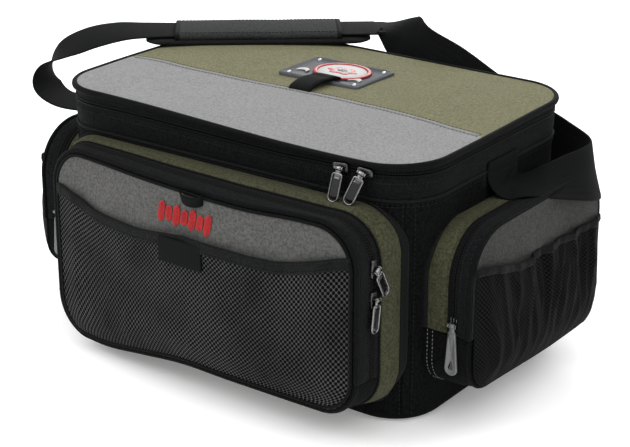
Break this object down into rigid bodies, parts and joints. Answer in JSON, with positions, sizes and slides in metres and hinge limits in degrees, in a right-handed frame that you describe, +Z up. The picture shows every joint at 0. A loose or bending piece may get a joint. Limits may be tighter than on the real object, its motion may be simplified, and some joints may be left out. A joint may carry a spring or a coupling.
{
  "type": "soft-sided fishing tackle bag",
  "caption": "Soft-sided fishing tackle bag with a zipped lid, a front pocket, side pockets with mesh pouches and a padded shoulder strap.",
  "frame": {"origin": "centre of the main compartment's base, on the resting face", "axes": "+X to the right along the width, +Y towards the back, +Z up"},
  "size_m": [0.572, 0.4065, 0.2711],
  "materials": {
    "black_fabric": "woven polyester, matt",
    "olive_fabric": "ripstop polyester",
    "grey_fabric": "ripstop polyester",
    "black_mesh": "knitted mesh",
    "black_webbing": "woven webbing",
    "grey_sleeve": "woven sleeve",
    "foam": "closed-cell foam and board",
    "badge_grey": "moulded, satin",
    "badge_red": "moulded, satin",
    "slider_metal": "plated, satin",
    "pull_black_metal": "gloss black with worn edges",
    "pull_cast_grey": "cast, satin grey"
  },
  "bodies": {
    "bag": {"outer_shell": "black_fabric", "base_board": "foam", "wall_foam": "foam", "lining": "black_mesh", "rim_binding": "black_fabric", "lower_zip_tape": "black_fabric", "hinge_fabric": "black_fabric", "front_gusset": "olive_fabric", "front_zip_tape": "black_fabric", "front_pocket_base": "black_fabric", "left_gusset": "olive_fabric", "right_gusset": "olive_fabric", "left_zip_tape": "black_fabric", "right_zip_tape": "black_fabric", "left_pouch": "black_fabric", "right_pouch": "black_fabric", "left_mesh_lower": "black_mesh", "right_mesh_lower": "black_mesh", "left_strap_anchor": "black_fabric", "right_strap_anchor": "black_fabric", "shoulder_strap": "black_webbing"},
    "lid": {"lid_grey_panel": "grey_fabric", "lid_olive_panel": "olive_fabric", "lid_foam": "foam", "lid_lining": "black_mesh", "lid_zip_tape": "black_fabric", "lid_piping": "black_fabric", "badge": "badge_grey", "badge_emblem": "badge_red", "badge_loop": "black_webbing"},
    "shoulder_pad": {"pad_cushion": "black_fabric", "pad_sleeve": "grey_sleeve"},
    "front_flap": {"front_flap_tape": "black_fabric", "front_panel": "black_fabric", "front_grey_panel": "grey_fabric", "front_mesh": "black_mesh", "front_binding": "black_fabric", "front_piping": "black_fabric", "front_hook_tab": "black_fabric", "front_finger_tab": "black_fabric"},
    "left_flap": {"left_flap_tape": "black_fabric", "left_flap_panel": "grey_fabric", "left_mesh_upper": "black_mesh"},
    "right_flap": {"right_flap_tape": "black_fabric", "right_flap_panel": "grey_fabric", "right_mesh_upper": "black_mesh"},
    "main_slider_left_body": {"main_slider_left": "slider_metal"},
    "main_slider_right_body": {"main_slider_right": "slider_metal"},
    "main_pull_left_body": {"main_pull_left": "pull_black_metal"},
    "main_pull_right_body": {"main_pull_right": "pull_black_metal"},
    "front_slider_upper_body": {"front_slider_upper": "slider_metal"},
    "front_slider_lower_body": {"front_slider_lower": "slider_metal"},
    "front_pull_upper_body": {"front_pull_upper": "pull_black_metal"},
    "front_pull_lower_body": {"front_pull_lower": "pull_black_metal"},
    "left_slider_body": {"left_slider": "slider_metal"},
    "right_slider_body": {"right_slider": "slider_metal"},
    "left_pull_body": {"left_pull": "pull_cast_grey"},
    "right_pull_body": {"right_pull": "pull_cast_grey"}
  },
  "joints": [
    {"name": "lid_hinge", "type": "hinge", "parent": "bag", "child": "lid", "pos_m": [0, 0.1354, 0.231], "axis": [-1, 0, 0], "range_deg": [0, 100], "deforming": ["hinge_fabric", "shoulder_strap"]},
    {"name": "front_flap_hinge", "type": "hinge", "parent": "bag", "child": "front_flap", "pos_m": [0, -0.199, 0.0335], "axis": [1, 0, 0], "range_deg": [0, 88]},
    {"name": "left_flap_hinge", "type": "hinge", "parent": "bag", "child": "left_flap", "pos_m": [-0.2575, 0, 0.092], "axis": [0, -1, 0], "range_deg": [0, 88]},
    {"name": "right_flap_hinge", "type": "hinge", "parent": "bag", "child": "right_flap", "pos_m": [0.2575, 0, 0.092], "axis": [0, 1, 0], "range_deg": [0, 88]},
    {"name": "main_slider_left_travel", "type": "slide", "parent": "bag", "child": "main_slider_left_body", "axis": [1, 0, 0], "range_m": [-0.27, 0]},
    {"name": "main_slider_right_travel", "type": "hinge", "parent": "bag", "child": "main_slider_right_body", "pos_m": [0.152, -0.086, 0.231], "axis": [0, 0, 1], "range_deg": [0, 85]},
    {"name": "front_slider_upper_travel", "type": "hinge", "parent": "bag", "child": "front_slider_upper_body", "pos_m": [0.147, -0.1735, 0.164], "axis": [0, -1, 0], "range_deg": [0, 80]},
    {"name": "front_slider_lower_travel", "type": "slide", "parent": "bag", "child": "front_slider_lower_body", "axis": [0, 0, 1], "range_m": [-0.065, 0]},
    {"name": "left_slider_travel", "type": "slide", "parent": "bag", "child": "left_slider_body", "axis": [0, 0, 1], "range_m": [0, 0.022]},
    {"name": "right_slider_travel", "type": "slide", "parent": "bag", "child": "right_slider_body", "axis": [0, 0, 1], "range_m": [0, 0.022]},
    {"name": "main_pull_left_hinge", "type": "hinge", "parent": "main_slider_left_body", "child": "main_pull_left_body", "pos_m": [0.129, -0.1412, 0.231], "axis": [-1, 0, 0], "range_deg": [0, 110]},
    {"name": "main_pull_right_hinge", "type": "hinge", "parent": "main_slider_right_body", "child": "main_pull_right_body", "pos_m": [0.152, -0.1412, 0.231], "axis": [-0.9563, 0, 0.2924], "range_deg": [0, 110]},
    {"name": "front_pull_upper_hinge", "type": "hinge", "parent": "front_slider_upper_body", "child": "front_pull_upper_body", "pos_m": [0.191, -0.1735, 0.164], "axis": [0, -0.8829, -0.4695], "range_deg": [0, 90]},
    {"name": "front_pull_lower_hinge", "type": "hinge", "parent": "front_slider_lower_body", "child": "front_pull_lower_body", "pos_m": [0.191, -0.1735, 0.138], "axis": [0, -0.9903, 0.1392], "range_deg": [0, 90]},
    {"name": "left_pull_hinge", "type": "hinge", "parent": "left_slider_body", "child": "left_pull_body", "pos_m": [-0.2275, -0.114, 0.102], "axis": [-1, 0, 0], "range_deg": [0, 100]},
    {"name": "right_pull_hinge", "type": "hinge", "parent": "right_slider_body", "child": "right_pull_body", "pos_m": [0.2275, -0.114, 0.102], "axis": [-1, 0, 0], "range_deg": [0, 100]},
    {"name": "shoulder_pad_travel", "type": "slide", "parent": "lid", "child": "shoulder_pad", "axis": [0.788, 0.6157, 0], "range_m": [-0.01, 0.01]}
  ]
}
